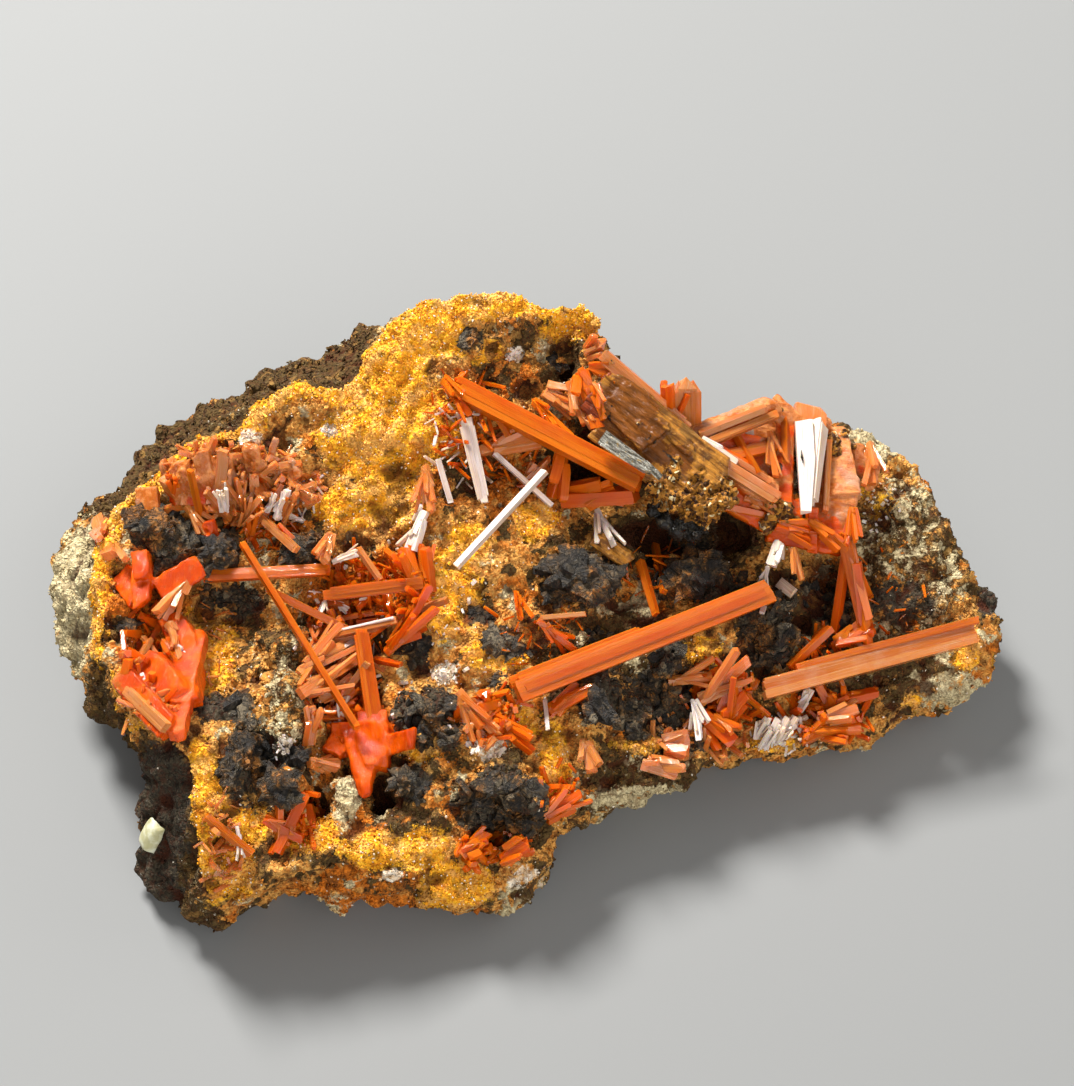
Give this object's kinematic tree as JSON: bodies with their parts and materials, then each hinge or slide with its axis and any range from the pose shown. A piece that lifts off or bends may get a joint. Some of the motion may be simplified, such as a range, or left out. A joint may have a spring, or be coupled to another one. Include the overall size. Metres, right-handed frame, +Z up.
{
  "type": "crocoite crystal specimen",
  "caption": "Loose slab of ochre limonite gossan with black manganese oxide lumps, overgrown by orange-red crocoite prisms, blades and needles",
  "frame": {"origin": "on the surface that the specimen rests on, below the centre of its bounding box", "axes": "+X along the slab's length toward its thin end, +Y toward the high rear shoulder, +Z up through the crystal face"},
  "size_m": [0.0855, 0.0556, 0.028],
  "materials": {
    "gossan": "rough porous ochre and brown limonite",
    "earthy_ochre": "powdery yellow-orange limonite grains",
    "manganese_crust": "dull black to slightly metallic botryoidal crust",
    "crocoite": "adamantine, translucent, striated along the prisms",
    "coated_crocoite": "satin, stained brown by limonite",
    "pale_grain": "waxy greenish white"
  },
  "bodies": {
    "root": {"bridge_prism": "crocoite", "curved_prism": "crocoite", "curved_prism_2": "crocoite", "east_side_prism": "crocoite", "gossan_matrix": "gossan", "hollow_prism": "crocoite", "long_prism_centre": "crocoite", "long_prism_east": "crocoite", "middle_pocket_spray": "crocoite", "middle_pocket_spray_2": "crocoite", "middle_pocket_spray_3": "crocoite", "middle_pocket_spray_4": "crocoite", "middle_pocket_spray_5": "crocoite", "middle_pocket_spray_6": "crocoite", "middle_splinter": "crocoite", "middle_splinter_2": "crocoite", "northeast_sheaf": "crocoite", "northeast_sheaf_2": "crocoite", "northeast_sheaf_3": "crocoite", "northeast_sheaf_4": "crocoite", "northeast_sheaf_5": "crocoite", "northwest_fan": "crocoite", "northwest_fan_2": "crocoite", "northwest_fan_3": "crocoite", "northwest_fan_4": "crocoite", "northwest_fan_5": "crocoite", "pale_grain": "pale_grain", "south_spur_crystal": "crocoite", "south_spur_crystal_2": "crocoite", "south_spur_crystal_3": "crocoite", "south_spur_crystal_4": "crocoite", "south_spur_crystal_5": "crocoite", "southeast_edge_blade": "crocoite", "southeast_edge_blade_2": "crocoite", "southeast_splay": "crocoite", "southeast_splay_2": "crocoite", "southeast_splay_3": "crocoite", "southeast_splay_4": "crocoite", "southeast_splay_5": "crocoite", "southwest_wing_crystal": "crocoite", "southwest_wing_crystal_2": "crocoite", "upper_needle": "crocoite", "upper_needle_2": "crocoite", "upper_needle_3": "crocoite", "upper_needle_4": "crocoite", "west_pocket_lobes": "crocoite", "west_pocket_lobes_2": "crocoite"}
  },
  "joints": []
}
